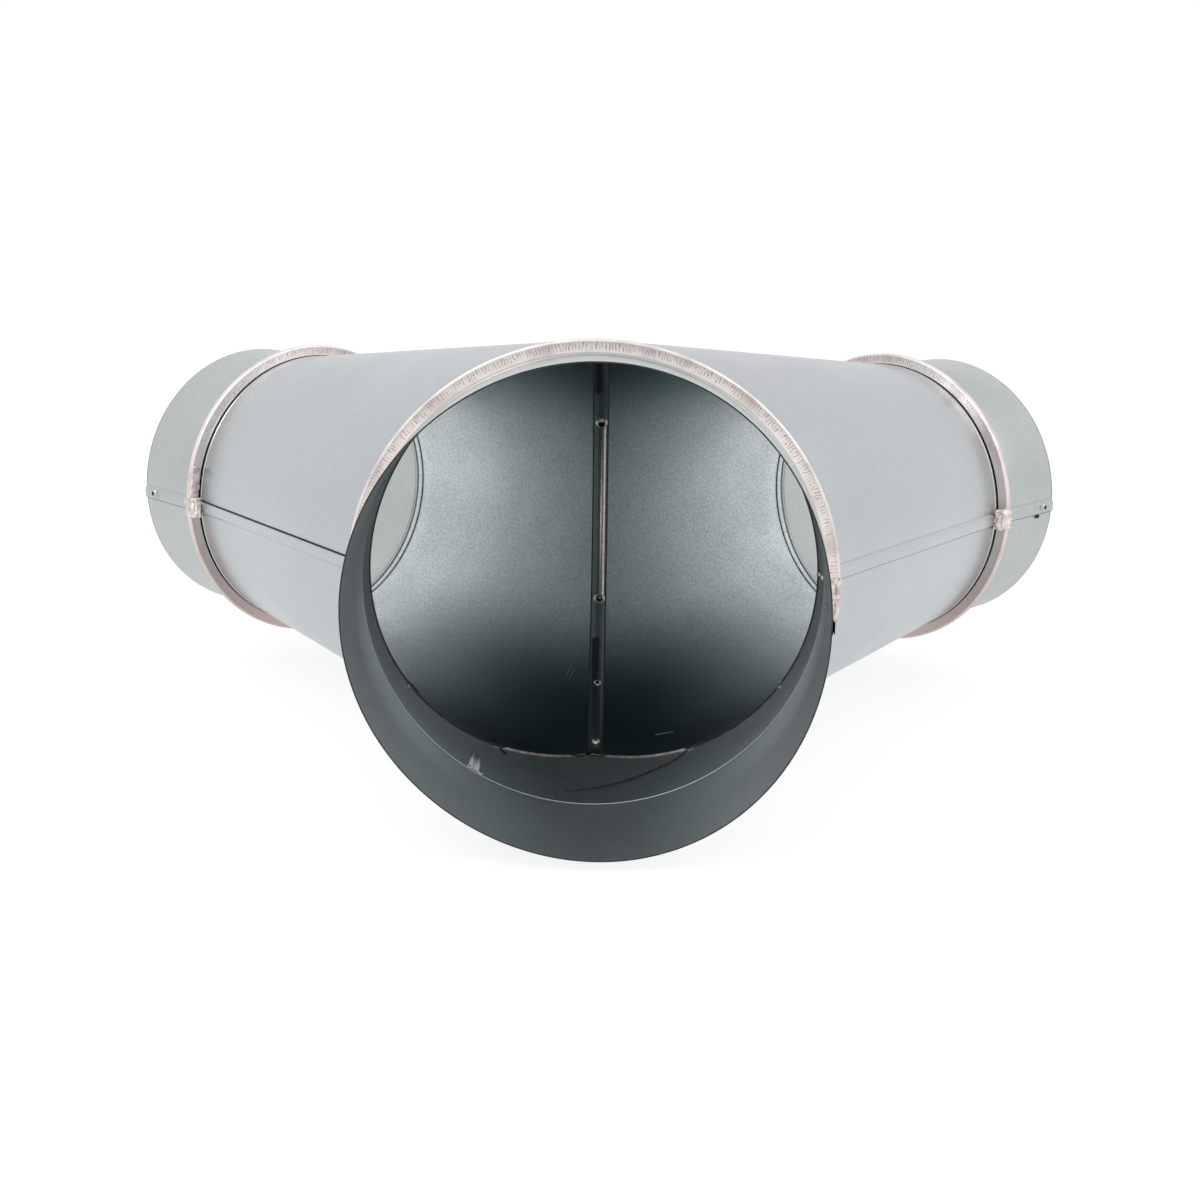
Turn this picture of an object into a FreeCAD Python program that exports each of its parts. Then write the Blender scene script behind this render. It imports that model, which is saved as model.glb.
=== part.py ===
import FreeCAD, Part
import os
import re
import Sketcher

# Duct Y branch in galvanised sheet: one round inlet that splits into two tapered branches.
# Frame: origin at the centre of the inlet rim, +Y into the fitting, +Z up, the three axes in z = 0.

# Driving dimensions in millimetres and degrees
DIMENSIONS = {
    "sheet_thickness": "0.6",
    "inlet_radius": "100",
    "outlet_radius": "75",
    "inlet_collar_length": "57",
    "outlet_collar_length": "55",
    "junction_depth": "116",
    "branch_angle": "45",
    "branch_length": "230",
    "seam_height": "6.5",
    "seam_play": "0.15",
    "hem_thickness": "2",
    "crown_room": "0.4",
    "lip_gap": "1",
    "neck_step": "0.6",
    "mitre_gap": "0.25",
    "crotch_play": "0.2",
    "crotch_lip_width": "3",
    "crotch_hem_width": "5",
    "lock_width": "6",
    "lock_rise": "1.2",
    "lock_setback": "0.5",
}

# A tapered branch is bumped round on a press in narrow flats
BRANCH_FLAT_COUNT = 72

doc = FreeCAD.newDocument("duct_y_branch")
sheet = doc.addObject("Spreadsheet::Sheet", "Dimensions")
for row, (alias, size) in enumerate(DIMENSIONS.items(), start=1):
    sheet.set(f"A{row}", alias)
    sheet.set(f"B{row}", size)
    sheet.setAlias(f"B{row}", alias)
doc.recompute()


def bound(text):
    """Turn a formula written with dimension names into an expression on the sheet."""
    return re.sub(r"[a-z]+(?:_[a-z]+)+", lambda word: "Dimensions." + word.group(), text)


def number(text):
    """Evaluate such a formula with the sheet's present values."""
    return float(sheet.evalExpression(bound(text)))


# The inlet and both branches wrap one sphere about the axes' crossing, so every joint is a flat cut
WALL_SPHERE = "(inlet_radius + neck_step)"
BORE_SPHERE = f"({WALL_SPHERE} - sheet_thickness)"
LEAN = f"asin({WALL_SPHERE} / hypot(branch_length; outlet_radius))"
TAPER = f"(({LEAN} - atan2(outlet_radius; branch_length)) / 1 deg)"
MITRE_BASE = f"(cos(branch_angle) + cos({TAPER}))"
MITRE_SLOPE = f"(sin(branch_angle) / {MITRE_BASE})"
MITRE_TIP = f"(junction_depth + {WALL_SPHERE} * sin({TAPER}) / {MITRE_BASE})"

# Behind the collar's upright a standing seam holds the next sheet's hemmed flange and the collar's lip
SEAM_STACK = "(2 * seam_play + hem_thickness + sheet_thickness)"
BRANCH_END = "branch_length - seam_play"
BRANCH_REACH = "(branch_length + outlet_collar_length)"
ACROSS_ALL = "4 * (inlet_radius + seam_height)"


def cone_radius(sphere, station):
    """Radius of a branch cone that touches the sphere, at a station along the branch axis."""
    return f"(({sphere} - ({station}) * sin({TAPER})) / cos({TAPER}))"


def outline(sketch, corners):
    """Draw a closed polygon whose corners are pairs of formulas, each bound to the sheet."""
    points = [FreeCAD.Vector(number(x), number(y), 0) for x, y in corners]
    count = len(points)
    for index, start in enumerate(points):
        sketch.addGeometry(Part.LineSegment(start, points[(index + 1) % count]), False)
    for index in range(count):
        sketch.addConstraint(Sketcher.Constraint("Coincident", index, 2, (index + 1) % count, 1))
    for index, corner in enumerate(corners):
        for kind, axis, formula in (("DistanceX", -2, corner[0]), ("DistanceY", -1, corner[1])):
            if formula == "0":
                sketch.addConstraint(Sketcher.Constraint("PointOnObject", index, 1, axis))
                continue
            rule = Sketcher.Constraint(kind, -1, 1, index, 1, number(formula))
            slot = sketch.addConstraint(rule)
            sketch.setExpression(f"Constraints[{slot}]", bound(formula))


def place(thing, shift=("0", "0"), turn="0"):
    """Put an object at a point of the z = 0 plane, turned about Z."""
    thing.Placement = FreeCAD.Placement(
        FreeCAD.Vector(number(shift[0]), number(shift[1]), 0),
        FreeCAD.Rotation(FreeCAD.Vector(0, 0, 1), number(turn)),
    )
    thing.setExpression("Placement.Base.x", bound(shift[0]))
    thing.setExpression("Placement.Base.y", bound(shift[1]))
    if turn != "0":
        thing.setExpression("Placement.Rotation.Angle", bound(turn))


def body_sketch(body, name, corners):
    """Add a sketch on the body's XY plane: x is the radius, y runs along the axis."""
    sketch = body.newObject("Sketcher::SketchObject", name)
    planes = [item for item in body.Origin.OriginFeatures if item.Role == "XY_Plane"]
    sketch.AttachmentSupport = (planes[0], [""])
    sketch.MapMode = "FlatFace"
    outline(sketch, corners)
    return sketch


def revolved_body(name, corners):
    """Make a body by turning a profile round its own Y axis."""
    body = doc.addObject("PartDesign::Body", name)
    profile = body_sketch(body, name + "_profile", corners)
    turned = body.newObject("PartDesign::Revolution", name + "_revolution")
    turned.Profile = profile
    turned.ReferenceAxis = (profile, ["V_Axis"])
    turned.Angle = 360
    return body


def slab(name, corners, width):
    """Extrude a polygon of the z = 0 plane by half the width to each side."""
    sketch = doc.addObject("Sketcher::SketchObject", name + "_outline")
    outline(sketch, corners)
    block = doc.addObject("Part::Extrusion", name)
    block.Base = sketch
    block.DirMode = "Custom"
    block.Dir = FreeCAD.Vector(0, 0, 1)
    block.Solid = True
    block.Symmetric = True
    block.setExpression("LengthFwd", bound(width))
    return block


def shared(name, first, second):
    """Keep what two solids have in common."""
    result = doc.addObject("Part::Common", name)
    result.Base = first
    result.Tool = second
    return result


def cut(name, first, second):
    """Take the second solid out of the first."""
    result = doc.addObject("Part::Cut", name)
    result.Base = first
    result.Tool = second
    return result


def fused(name, solids):
    """Join solids into one."""
    result = doc.addObject("Part::MultiFuse", name)
    result.Shapes = solids
    return result


def collar(name, radius, length, lock_side):
    """Rolled spigot with a grooved lock, its back end folded into the hood of a standing seam."""
    wall = f"({radius} - sheet_thickness)"
    crown = f"({radius} + seam_height)"
    lip = f"({radius} + lip_gap)"
    stack_end = f"({length} + {SEAM_STACK})"
    front = f"({length} - sheet_thickness)"
    spigot = revolved_body(name + "_spigot", [
        (wall, "0"),
        (radius, "0"),
        (radius, front),
        (crown, front),
        (crown, stack_end),
        (lip, stack_end),
        (lip, f"{stack_end} - sheet_thickness"),
        (f"{crown} - sheet_thickness", f"{stack_end} - sheet_thickness"),
        (f"{crown} - sheet_thickness", length),
        (wall, length),
    ])
    root = f"{lock_side} * ({radius} - sheet_thickness / 2)"
    top = f"{lock_side} * ({radius} + lock_rise)"
    end = f"({front} - lock_setback)"
    lock = slab(name + "_lock", [(root, "0"), (top, "0"), (top, end), (root, end)], "lock_width")
    return fused(name, [spigot, lock])


def seam_flange(radius):
    """Tip radius of the hemmed flange that stands inside a collar's hood."""
    return f"({radius} + seam_height - sheet_thickness - crown_room)"


def mitre_line(across):
    """Depth of the neck's mitre at a distance from the middle plane."""
    return f"({MITRE_TIP} - ({across}) * {MITRE_SLOPE})"


def neck(name):
    """Short sleeve behind the inlet seam, a step wider, cut to a V where the two branches take over."""
    tip = seam_flange("inlet_radius")
    front = "(inlet_collar_length + seam_play)"
    back = f"({front} + hem_thickness)"
    sleeve = revolved_body(name + "_sleeve", [
        (BORE_SPHERE, front),
        (tip, front),
        (tip, back),
        (WALL_SPHERE, back),
        (WALL_SPHERE, MITRE_TIP),
        (BORE_SPHERE, MITRE_TIP),
    ])
    reach = "(inlet_radius + seam_height)"
    side = f"({mitre_line(reach)} - mitre_gap)"
    past = f"({MITRE_TIP} + mitre_gap)"
    notch = slab(name + "_notch", [
        ("0", f"{MITRE_TIP} - mitre_gap"),
        (reach, side),
        (reach, past),
        (f"-{reach}", past),
        (f"-{reach}", side),
    ], ACROSS_ALL)
    return cut(name, sleeve, notch)


def outlet_line(across):
    """Depth of a branch's end at a distance from the middle plane."""
    end = f"junction_depth + ({BRANCH_END}) / cos(branch_angle)"
    return f"({end} - ({across}) * tan(branch_angle))"


def branch_zone(name, side, inner, outer):
    """From the neck's mitre to a branch's end, between two distances from the middle plane."""
    return slab(name, [
        (f"{side} * ({inner})", mitre_line(inner)),
        (f"{side} * ({outer})", mitre_line(outer)),
        (f"{side} * ({outer})", outlet_line(outer)),
        (f"{side} * ({inner})", outlet_line(inner)),
    ], ACROSS_ALL)


def stand_on_axis(thing, station):
    """Turn a flat shape to face along the Y axis and set it at a station."""
    thing.Placement = FreeCAD.Placement(
        FreeCAD.Vector(0, number(station), 0),
        FreeCAD.Rotation(FreeCAD.Vector(1, 0, 0), -90),
    )
    thing.setExpression("Placement.Base.y", bound(station))


def taper(name, sphere):
    """Solid taper in flats that touches the sphere, from the axes' crossing to its own point."""
    base = doc.addObject("Part::RegularPolygon", name + "_base")
    base.Polygon = BRANCH_FLAT_COUNT
    base.setExpression("Circumradius", bound(cone_radius(sphere, "0")))
    stand_on_axis(base, "0")
    point = doc.addObject("Part::Vertex", name + "_point")
    point.setExpression("Y", bound(f"({sphere}) / sin({TAPER})"))
    solid = doc.addObject("Part::Loft", name)
    solid.Sections = [base, point]
    solid.Solid = True
    solid.Ruled = True
    solid.Linearize = True
    return solid


def on_branch_axis(thing, side):
    """Move a solid made along the Y axis onto one branch's axis."""
    place(thing, ("0", "junction_depth"), f"-{side} * branch_angle")
    return thing


def branch_wall(name, side):
    """Tapered branch with its seam flange at the outlet and its grooved lock along the front."""
    flange = doc.addObject("Part::Prism", name + "_flange")
    flange.Polygon = BRANCH_FLAT_COUNT
    flange.setExpression("Circumradius", bound(seam_flange("outlet_radius")))
    flange.setExpression("Height", bound("hem_thickness"))
    stand_on_axis(flange, f"{BRANCH_END} - hem_thickness")
    turn = f"((branch_angle - {TAPER}) / 2)"
    near = f"({WALL_SPHERE} * (sin({TAPER}) + tan({turn}) * cos({TAPER})))"
    far = f"(branch_length - {SEAM_STACK} - lock_setback)"
    root = f"({WALL_SPHERE} - sheet_thickness / 2)"
    top = f"({WALL_SPHERE} + lock_rise)"
    lock = slab(name + "_lock", [
        (f"{side} * {cone_radius(root, near)}", near),
        (f"{side} * {cone_radius(root, far)}", far),
        (f"{side} * {cone_radius(top, far)}", far),
        (f"{side} * {cone_radius(top, near)}", near),
    ], "lock_width")
    hull = fused(name + "_hull", [taper(name + "_outside", WALL_SPHERE), flange, lock])
    return on_branch_axis(cut(name, hull, taper(name + "_bore", BORE_SPHERE)), side)


def branch(name, side):
    """One tapered leg of the Y, mitred to the neck and to the other leg."""
    zone = branch_zone(name + "_zone", side, "crotch_play / 2", BRANCH_REACH)
    return shared(name, branch_wall(name + "_wall", side), zone)


def fold_strip(name, side, spheres, inner, outer):
    """Strip of a thin taper beside the middle plane, between two distances from it."""
    wall, bore = spheres
    shell = cut(name + "_shell", taper(name + "_outside", wall), taper(name + "_bore", bore))
    return shared(name, on_branch_axis(shell, side), branch_zone(name + "_zone", side, inner, outer))


def folded_branch(name, side):
    """The leg that closes the crotch, with a hem on itself and a lip under the other leg."""
    fold_bore = f"({BORE_SPHERE} - seam_play - sheet_thickness)"
    fold_wall = f"({BORE_SPHERE} - seam_play)"
    hem = fold_strip("crotch_hem", side, (WALL_SPHERE, fold_bore), "crotch_play / 2", "crotch_hem_width")
    lip = fold_strip("crotch_lip", -side, (fold_wall, fold_bore), "-sheet_thickness", "crotch_lip_width")
    return fused(name, [branch(name + "_leg", side), hem, lip])


def outlet_collar(name, side):
    """Outlet spigot, set on the end of its branch with its rim outwards."""
    body = collar(name, "outlet_radius", "outlet_collar_length", -side)
    across = f"{side} * {BRANCH_REACH} * sin(branch_angle)"
    depth = f"junction_depth + {BRANCH_REACH} * cos(branch_angle)"
    place(body, (across, depth), f"180 - {side} * branch_angle")
    return body


LEFT, RIGHT = -1, 1
sub_parts = [
    collar("inlet_collar", "inlet_radius", "inlet_collar_length", RIGHT),
    neck("inlet_neck"),
    branch("left_branch", LEFT),
    folded_branch("right_branch", RIGHT),
    outlet_collar("left_outlet_collar", LEFT),
    outlet_collar("right_outlet_collar", RIGHT),
]
doc.recompute()

# Stop before anything is written if a feature failed
for item in doc.Objects:
    if {"Invalid", "Error"} & set(item.State):
        raise RuntimeError(f"{item.Name} failed: {item.State}")
for item in sub_parts:
    if item.Shape.isNull() or not item.Shape.isValid():
        raise RuntimeError(f"{item.Label} has no valid shape")

os.makedirs("parts", exist_ok=True)
for item in sub_parts:
    item.Shape.exportStep(f"parts/{item.Label}.step")
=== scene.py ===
import math

import bpy
from mathutils import Matrix, Vector


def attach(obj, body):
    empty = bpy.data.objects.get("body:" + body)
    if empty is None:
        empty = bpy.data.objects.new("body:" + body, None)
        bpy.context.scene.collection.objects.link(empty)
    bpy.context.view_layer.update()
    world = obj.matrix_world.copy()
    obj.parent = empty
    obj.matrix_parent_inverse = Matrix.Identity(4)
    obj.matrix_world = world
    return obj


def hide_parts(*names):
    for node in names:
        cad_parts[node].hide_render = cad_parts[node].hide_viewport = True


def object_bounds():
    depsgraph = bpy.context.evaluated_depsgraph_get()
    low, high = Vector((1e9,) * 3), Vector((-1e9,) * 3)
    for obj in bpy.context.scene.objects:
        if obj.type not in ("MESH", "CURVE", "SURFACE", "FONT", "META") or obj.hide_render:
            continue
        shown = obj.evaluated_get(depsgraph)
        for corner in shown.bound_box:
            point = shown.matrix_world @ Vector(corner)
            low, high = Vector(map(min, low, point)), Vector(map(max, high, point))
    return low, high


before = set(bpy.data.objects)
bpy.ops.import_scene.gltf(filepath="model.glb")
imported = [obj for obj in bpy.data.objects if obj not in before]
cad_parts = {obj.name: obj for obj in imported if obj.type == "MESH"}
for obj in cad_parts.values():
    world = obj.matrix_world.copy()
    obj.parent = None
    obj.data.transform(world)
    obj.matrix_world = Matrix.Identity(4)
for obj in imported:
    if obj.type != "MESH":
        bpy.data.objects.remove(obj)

CAD_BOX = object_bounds()
BODY = "root"
scene = bpy.context.scene

# Sizes of the fitting in metres
SHEET = 0.0006
HALF_SHEET = SHEET / 2
INLET_RADIUS = 0.100
OUTLET_RADIUS = 0.075
INLET_LENGTH = 0.057
OUTLET_LENGTH = 0.055
CROSSING = Vector((0, 0.116, 0))
LEG_ANGLE = math.radians(45)
LEG_LENGTH = 0.230
NECK_RADIUS = 0.1006
SEAM_RISE = 0.0065
SEAM_WIDTH = 0.0035
SEAM_PLAY = 0.00015
FLANGE_RISE = 0.0055
LIP_GAP = 0.001
MITRE_GAP = 0.0011
CROTCH_GAP = 0.0001
LEFT, RIGHT = -1, 1
SIDES = ((LEFT, "left"), (RIGHT, "right"))

# A point nearer than this to a line counts as on it
ON_LINE = SHEET / 10

# Radial teeth pressed into the folded seams, as heights above the collar
KNURL_LOW, KNURL_FULL_LOW = 0.0018, 0.0022
KNURL_FULL_HIGH, KNURL_HIGH = 0.0051, 0.0055

# The legs taper round one sphere, and meet the neck in flat mitres
LEG_REACH = math.hypot(LEG_LENGTH, OUTLET_RADIUS)
TAPER = math.asin(NECK_RADIUS / LEG_REACH) - math.atan2(OUTLET_RADIUS, LEG_LENGTH)
MITRE_SPREAD = math.cos(LEG_ANGLE) + math.cos(TAPER)
MITRE_SLOPE = math.sin(LEG_ANGLE) / MITRE_SPREAD
MITRE_TIP = CROSSING.y + NECK_RADIUS * math.sin(TAPER) / MITRE_SPREAD


# Node helpers

def connect(tree, node, inputs):
    """Give a node's inputs their values, or link them to other nodes' outputs."""
    for key, value in inputs.items():
        if isinstance(value, bpy.types.NodeSocket):
            tree.links.new(value, node.inputs[key])
        else:
            node.inputs[key].default_value = value


def add(tree, kind, inputs, **settings):
    """Add a node with its settings and inputs."""
    node = tree.nodes.new(kind)
    for key, value in settings.items():
        setattr(node, key, value)
    connect(tree, node, inputs)
    return node


def math_node(tree, operation, first, second=0.0):
    """One arithmetic step on two values or outputs."""
    return add(tree, "ShaderNodeMath", {0: first, 1: second}, operation=operation).outputs[0]


def total(tree, first, second):
    """Sum of two values."""
    return math_node(tree, "ADD", first, second)


def product(tree, first, second):
    """Product of two values."""
    return math_node(tree, "MULTIPLY", first, second)


def ramp(tree, value, low, high, start=0.0, end=1.0):
    """Map a value from low..high to start..end, held at both ends."""
    inputs = {0: value, 1: low, 2: high, 3: start, 4: end}
    return add(tree, "ShaderNodeMapRange", inputs, interpolation_type="SMOOTHSTEP").outputs[0]


def blend(tree, factor, first, second):
    """Mix two colours."""
    return add(tree, "ShaderNodeMix", {0: factor, 6: first, 7: second}, data_type="RGBA").outputs[2]


def noise(tree, place, scale, detail, stretch=None):
    """Noise on object coordinates, stretched along an axis where asked."""
    if stretch is not None:
        place = add(tree, "ShaderNodeMapping", {"Vector": place, "Scale": stretch}).outputs[0]
    inputs = {"Vector": place, "Scale": scale, "Detail": detail}
    return add(tree, "ShaderNodeTexNoise", inputs).outputs["Fac"]


def pattern(tree, place, kind, start=0.0, end=1.0, stretch=None):
    """A noise pattern of one kind, spread from start to end."""
    scale, detail, low, high = kind
    return ramp(tree, noise(tree, place, scale, detail, stretch), low, high, start, end)


def relief(tree, shader, height, strength, distance):
    """Let a pattern tilt the surface."""
    inputs = {"Strength": strength, "Distance": distance, "Height": height}
    connect(tree, shader, {"Normal": add(tree, "ShaderNodeBump", inputs).outputs[0]})


def seen_plainly(tree):
    """1 for what is seen straight, in a reflection or through something, and 0 for what only lights."""
    path = tree.nodes.new("ShaderNodeLightPath").outputs
    seen = math_node(tree, "MAXIMUM", path["Is Camera Ray"], path["Is Glossy Ray"])
    return math_node(tree, "MAXIMUM", seen, path["Is Transmission Ray"])


def new_material(name):
    """Empty node material: its tree, shader and object coordinates."""
    material = bpy.data.materials.new(name)
    material.use_nodes = True
    tree = material.node_tree
    shader = tree.nodes["Principled BSDF"]
    place = tree.nodes.new("ShaderNodeTexCoord").outputs["Object"]
    return material, tree, shader, place


# Colours

ZINC_PALE = (0.53, 0.57, 0.582, 1)
ZINC_LILAC = (0.495, 0.512, 0.54, 1)
# Darker copy of the zinc for the inside of the neck: painted shade
SHADED_INNER_PALE = (0.335, 0.362, 0.373, 1)
SHADED_INNER_GREEN = (0.28, 0.315, 0.324, 1)
# Darker copy of the collar zinc for the inside of the inlet collar: painted shade
COLLAR_INNER_SHADED_PALE = (0.395, 0.422, 0.433, 1)
COLLAR_INNER_SHADED_GREEN = (0.335, 0.37, 0.379, 1)
# Lighter copy of the zinc for the inside of the legs: painted light
LEG_INNER_LIT_PALE = (0.72, 0.765, 0.77, 1)
LEG_INNER_LIT_GREEN = (0.615, 0.675, 0.68, 1)
LEG_SPECK = (0.25, 0.29, 0.30, 1)
# Painted shade at the top and at the foot inside the legs
LEG_TOP_SHADE_COLOUR = (0.165, 0.255, 0.285, 1)
LEG_LOW_SHADE_COLOUR = (0.07, 0.12, 0.14, 1)
COLLAR_PALE = (0.505, 0.533, 0.532, 1)
COLLAR_GREEN = (0.44, 0.475, 0.47, 1)
# Dark zinc of the crotch fold: painted shade
FOLD_SHADE_PALE = (0.23, 0.25, 0.26, 1)
FOLD_SHADE_DARK = (0.15, 0.18, 0.185, 1)
SEAM_PALE = (0.86, 0.795, 0.77, 1)
SEAM_PINK = (0.62, 0.53, 0.51, 1)
# Seam colour towards the bottom, darker
SEAM_LOW_DARKER = (0.60, 0.495, 0.475, 1)
# Painted shade in the grooves between a seam's teeth
GROOVE_SHADE_BROWN = (0.50, 0.42, 0.41, 1)
# Near-black of cut edges, also used as painted shade in gaps, grooves, pits, creases and under lips
EDGE_SHADE_BLACK = (0.035, 0.034, 0.036, 1)
EDGE_SHADE_BROWN = (0.07, 0.055, 0.05, 1)
# Pale copper of the mitre's raw edge low down: a reddish edge with a painted highlight
EDGE_COPPER_HIGHLIGHT = (0.95, 0.85, 0.80, 1)
EDGE_RED = (0.70, 0.52, 0.47, 1)
RUB_PALE = (0.97, 0.94, 0.93, 1)
RUB_FADED = (0.11, 0.12, 0.125, 1)
FLOOR_WHITE = (0.9, 0.9, 0.9, 1)
WHITE = (1, 1, 1, 1)


# Patterns

# Colour and gloss: repeats in a metre, layers of detail, and the range of the noise that is used
CLOUDS = (7.0, 2.0, 0.3, 0.7)
CRYSTALS = (620.0, 2.0, 0.3, 0.7)
GLOSS = (35.0, 3.0, 0.3, 0.7)
TOOTH_SLIP = (320.0, 2.0, 0.3, 0.7)
GROOVE_SHADE_PATCHES = (420.0, 3.0, 0.36, 0.6)
SEAM_PATCHES = (70.0, 4.0, 0.45, 0.7)
EDGE_PATCHES = (240.0, 4.0, 0.35, 0.65)
SPECKS = (950.0, 2.0, 0.36, 0.66)
BLOTCHES = (55.0, 3.0, 0.4, 0.7)
RUB_STREAKS = (900.0, 2.0, 0.35, 0.65)

# Relief: repeats in a metre and layers of detail
GRAIN = (1500.0, 2.0)
STREAKS = (60.0, 3.0)
DENTS = (22.0, 2.0)
EDGE_GRAIN = (2200.0, 3.0)

# How long the streaks are drawn out
STREAK_STRETCH = (1.0, 0.06, 1.0)
RUB_STRETCH = (1.0, 0.05, 1.0)

# Shares of the patterns in a sheet's relief, and the strength and height of the relief
GRAIN_SHARE, FINE_SHARE, DENT_SHARE = 0.25, 0.3, 0.5
SHEET_RELIEF = (0.16, 0.0006)
EDGE_RELIEF = (0.3, 0.0002)

# How strongly the patterns show
CRYSTAL_REACH = 0.35
GLOSS_BELOW, GLOSS_ABOVE = 0.02, 0.03
PATCH_SHARE = 0.8
SPECK_SHARE, BLOTCH_SHARE = 0.40, 0.07
RUB_STREAK_REACH = 0.3


# Finishes

COLLAR_ROUGHNESS = 0.36
EDGE_METALLIC = 0.8
RUB_METALLIC = 0.2

# Teeth of a seam: how far they slip out of step, where a groove's painted shade starts and is full,
# and how much of that shade is left where it fades
SLIP_REACH = 1.9
GROOVE_SIDES = (0.1, -0.8)
GROOVE_SHADE_LEFT = 0.15

# Heights, as shares of the collar's radius, between which the teeth and the darker colour towards the
# bottom come in
TEETH_HEIGHTS = (0.3, 0.95)
SEAM_DARKER_HEIGHTS = (0.7, -0.9)

# Where a collar's rubbed seam comes in: heights above the collar and distances before its end
HOOD_RISES = (0.0005, 0.0014)
HOOD_STARTS = (0.003, 0.002)

# Painted shade inside the legs at the top and at the foot: heights, reach to both sides, and what is left
# past it
TOP_SHADE, TOP_REACH, TOP_REST = (0.040, 0.085), (0.06, 0.13), 0.0
LOW_SHADE, LOW_REACH, LOW_REST = (-0.047, -0.092), (0.02, 0.15), 0.12

# Depths between which the rub mark fades
RUB_FADE = (0.063, 0.079)


def zinc_colour(tree, place, pale, shade):
    """Soft cloudy zinc with fine crystals in it."""
    clouds = pattern(tree, place, CLOUDS)
    crystals = pattern(tree, place, CRYSTALS, -CRYSTAL_REACH, CRYSTAL_REACH)
    return blend(tree, total(tree, clouds, crystals), pale, shade)


def zinc_surface(tree, shader, place, roughness):
    """Grain, faint rolling streaks, soft dents and uneven gloss."""
    grain = product(tree, noise(tree, place, *GRAIN), GRAIN_SHARE)
    streaks = noise(tree, place, *STREAKS, STREAK_STRETCH)
    fine = product(tree, total(tree, grain, streaks), FINE_SHARE)
    dents = product(tree, noise(tree, place, *DENTS), DENT_SHARE)
    relief(tree, shader, total(tree, fine, dents), *SHEET_RELIEF)
    gloss = pattern(tree, place, GLOSS, roughness - GLOSS_BELOW, roughness + GLOSS_ABOVE)
    connect(tree, shader, {"Roughness": gloss, "Metallic": 1.0})


def sheet_finish(name, pale, shade, roughness):
    """Bright galvanised sheet."""
    material, tree, shader, place = new_material(name)
    connect(tree, shader, {"Base Color": zinc_colour(tree, place, pale, shade)})
    zinc_surface(tree, shader, place, roughness)
    return material


def tooth_grooves(tree, place, angle, reach, radius, teeth):
    """Painted shade in the grooves between the teeth on a seam's faces, uneven and faded in patches."""
    slip = pattern(tree, place, TOOTH_SLIP, -SLIP_REACH, SLIP_REACH)
    tooth = math_node(tree, "COSINE", total(tree, product(tree, angle, float(teeth)), slip))
    above = ramp(tree, reach, radius + KNURL_LOW, radius + KNURL_FULL_LOW)
    below = ramp(tree, reach, radius + KNURL_FULL_HIGH, radius + KNURL_HIGH, 1.0, 0.0)
    groove = product(tree, ramp(tree, tooth, *GROOVE_SIDES), product(tree, above, below))
    uneven_shade = pattern(tree, place, GROOVE_SHADE_PATCHES)
    return product(tree, groove, ramp(tree, uneven_shade, 0.0, 1.0, GROOVE_SHADE_LEFT, 1.0))


def rubbed_seam(tree, place, height, radius):
    """Seam metal rubbed pale, with pink patches, and darker towards the bottom."""
    patches = pattern(tree, place, SEAM_PATCHES, 0.0, PATCH_SHARE)
    lower_down = ramp(tree, height, *(share * radius for share in SEAM_DARKER_HEIGHTS))
    return blend(tree, lower_down, blend(tree, patches, SEAM_PALE, SEAM_PINK), SEAM_LOW_DARKER)


def collar_finish(name, centre, turn, radius, length, teeth, low_teeth):
    """Galvanised collar whose folded seam is rubbed pale and pressed with radial teeth, with painted shade
    in their grooves.
    """
    material, tree, shader, place = new_material(name)
    turned = {"Vector": place, "Location": centre, "Rotation": (0, 0, turn)}
    local = add(tree, "ShaderNodeMapping", turned, vector_type="TEXTURE").outputs[0]
    across, depth, height = add(tree, "ShaderNodeSeparateXYZ", {"Vector": local}).outputs
    flat = add(tree, "ShaderNodeCombineXYZ", {"X": across, "Z": height}).outputs[0]
    reach = add(tree, "ShaderNodeVectorMath", {0: flat}, operation="LENGTH").outputs["Value"]
    angle = math_node(tree, "ARCTAN2", height, across)

    groove = tooth_grooves(tree, place, angle, reach, radius, teeth)
    fading = ramp(tree, height, *(share * radius for share in TEETH_HEIGHTS), low_teeth, 1.0)
    groove = product(tree, groove, fading)
    seam = blend(tree, groove, rubbed_seam(tree, place, height, radius), GROOVE_SHADE_BROWN)
    wall = zinc_colour(tree, place, COLLAR_PALE, COLLAR_GREEN)
    outwards = ramp(tree, reach, *(radius + rise for rise in HOOD_RISES))
    inwards = ramp(tree, depth, *(length - start for start in HOOD_STARTS))
    connect(tree, shader, {"Base Color": blend(tree, product(tree, outwards, inwards), wall, seam)})
    zinc_surface(tree, shader, place, COLLAR_ROUGHNESS)
    return material


def edge_finish(name, colour, second, roughness):
    """Two uneven colours, for raw cut edges, rubbed marks, painted shade and a painted highlight."""
    material, tree, shader, place = new_material(name)
    patches = pattern(tree, place, EDGE_PATCHES)
    relief(tree, shader, noise(tree, place, *EDGE_GRAIN), *EDGE_RELIEF)
    colours = blend(tree, patches, colour, second)
    connect(tree, shader, {"Base Color": colours, "Roughness": roughness, "Metallic": EDGE_METALLIC})
    return material


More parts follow.
